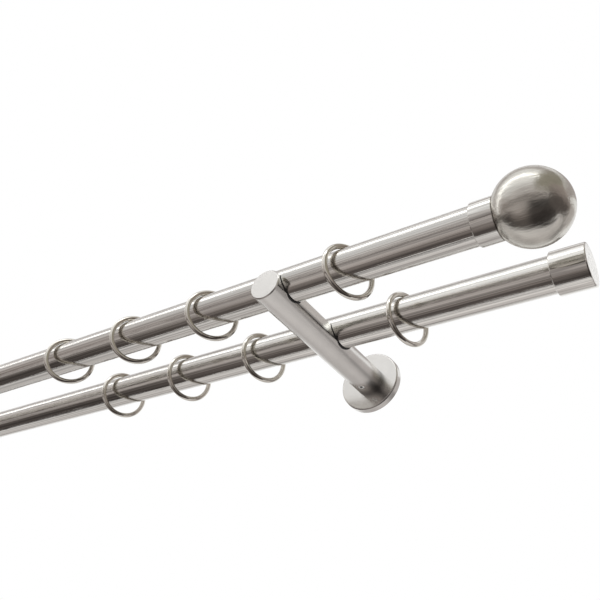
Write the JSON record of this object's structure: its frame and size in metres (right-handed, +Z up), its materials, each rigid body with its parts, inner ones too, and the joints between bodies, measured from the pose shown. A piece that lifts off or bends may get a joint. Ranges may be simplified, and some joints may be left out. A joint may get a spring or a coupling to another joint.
{
  "type": "double curtain pole",
  "caption": "Wall-mounted double curtain pole: two parallel round poles in saddle brackets, with ball finials in front, flat caps behind and sliding rings.",
  "frame": {"origin": "on the wall, in the middle of the four wall screw holes, at the height of the bracket arms' axes", "axes": "X along the poles, +Y into the wall, +Z up"},
  "size_m": [1.0738, 0.1212, 0.045],
  "materials": {
    "front_pole": "steel tube, fine lengthwise brushing, satin",
    "rear_pole": "steel tube, fine lengthwise brushing, satin",
    "bracket_arm": "fine satin nickel finish, smooth",
    "saddle_bridge": "fine satin nickel finish, smooth",
    "saddle_pad": "matt black lining",
    "rosette": "fine satin nickel finish, turned",
    "wall_plate": "zinc plated, plain",
    "grub_screw": "plated, socket head",
    "finial_ball": "satin, brushed round",
    "finial_sleeve": "satin, turned",
    "end_cap": "satin, turned",
    "ring": "bright, smooth"
  },
  "bodies": {
    "pole_set": {"front_pole": "front_pole", "rear_pole": "rear_pole", "left_arm": "bracket_arm", "left_saddle_bridge": "saddle_bridge", "left_front_saddle_pad": "saddle_pad", "left_rear_saddle_pad": "saddle_pad", "left_rosette": "rosette", "left_wall_plate": "wall_plate", "left_grub_screw": "grub_screw", "left_finial_sleeve": "finial_sleeve", "left_finial_ball": "finial_ball", "left_end_cap": "end_cap", "right_arm": "bracket_arm", "right_saddle_bridge": "saddle_bridge", "right_front_saddle_pad": "saddle_pad", "right_rear_saddle_pad": "saddle_pad", "right_rosette": "rosette", "right_wall_plate": "wall_plate", "right_grub_screw": "grub_screw", "right_finial_sleeve": "finial_sleeve", "right_finial_ball": "finial_ball", "right_end_cap": "end_cap"},
    "front_left_ring_1": {"front_left_ring_1": "ring"},
    "front_left_ring_2": {"front_left_ring_2": "ring"},
    "front_left_ring_3": {"front_left_ring_3": "ring"},
    "front_left_ring_4": {"front_left_ring_4": "ring"},
    "front_right_ring_1": {"front_right_ring_1": "ring"},
    "front_right_ring_2": {"front_right_ring_2": "ring"},
    "front_right_ring_3": {"front_right_ring_3": "ring"},
    "front_right_ring_4": {"front_right_ring_4": "ring"},
    "rear_left_ring_1": {"rear_left_ring_1": "ring"},
    "rear_left_ring_2": {"rear_left_ring_2": "ring"},
    "rear_left_ring_3": {"rear_left_ring_3": "ring"},
    "rear_left_ring_4": {"rear_left_ring_4": "ring"},
    "rear_right_ring_1": {"rear_right_ring_1": "ring"},
    "rear_right_ring_2": {"rear_right_ring_2": "ring"},
    "rear_right_ring_3": {"rear_right_ring_3": "ring"},
    "rear_right_ring_4": {"rear_right_ring_4": "ring"}
  },
  "joints": [
    {"name": "front_left_ring_1_slide", "type": "slide", "parent": "pole_set", "child": "front_left_ring_1", "axis": [1, 0, 0], "range_m": [-0.0635, 0.026]},
    {"name": "front_left_ring_2_slide", "type": "slide", "parent": "pole_set", "child": "front_left_ring_2", "axis": [1, 0, 0], "range_m": [-0.031, 0.029]},
    {"name": "front_left_ring_3_slide", "type": "slide", "parent": "pole_set", "child": "front_left_ring_3", "axis": [1, 0, 0], "range_m": [-0.029, 0.029]},
    {"name": "front_left_ring_4_slide", "type": "slide", "parent": "pole_set", "child": "front_left_ring_4", "axis": [1, 0, 0], "range_m": [-0.029, 0.194]},
    {"name": "front_right_ring_1_slide", "type": "slide", "parent": "pole_set", "child": "front_right_ring_1", "axis": [1, 0, 0], "range_m": [-0.026, 0.0635]},
    {"name": "front_right_ring_2_slide", "type": "slide", "parent": "pole_set", "child": "front_right_ring_2", "axis": [1, 0, 0], "range_m": [-0.029, 0.031]},
    {"name": "front_right_ring_3_slide", "type": "slide", "parent": "pole_set", "child": "front_right_ring_3", "axis": [1, 0, 0], "range_m": [-0.029, 0.029]},
    {"name": "front_right_ring_4_slide", "type": "slide", "parent": "pole_set", "child": "front_right_ring_4", "axis": [1, 0, 0], "range_m": [-0.194, 0.029]},
    {"name": "rear_left_ring_1_slide", "type": "slide", "parent": "pole_set", "child": "rear_left_ring_1", "axis": [1, 0, 0], "range_m": [-0.076, 0.035]},
    {"name": "rear_left_ring_2_slide", "type": "slide", "parent": "pole_set", "child": "rear_left_ring_2", "axis": [1, 0, 0], "range_m": [-0.033, 0.029]},
    {"name": "rear_left_ring_3_slide", "type": "slide", "parent": "pole_set", "child": "rear_left_ring_3", "axis": [1, 0, 0], "range_m": [-0.029, 0.029]},
    {"name": "rear_left_ring_4_slide", "type": "slide", "parent": "pole_set", "child": "rear_left_ring_4", "axis": [1, 0, 0], "range_m": [-0.029, 0.194]},
    {"name": "rear_right_ring_1_slide", "type": "slide", "parent": "pole_set", "child": "rear_right_ring_1", "axis": [1, 0, 0], "range_m": [-0.035, 0.076]},
    {"name": "rear_right_ring_2_slide", "type": "slide", "parent": "pole_set", "child": "rear_right_ring_2", "axis": [1, 0, 0], "range_m": [-0.029, 0.033]},
    {"name": "rear_right_ring_3_slide", "type": "slide", "parent": "pole_set", "child": "rear_right_ring_3", "axis": [1, 0, 0], "range_m": [-0.029, 0.029]},
    {"name": "rear_right_ring_4_slide", "type": "slide", "parent": "pole_set", "child": "rear_right_ring_4", "axis": [1, 0, 0], "range_m": [-0.194, 0.029]}
  ]
}
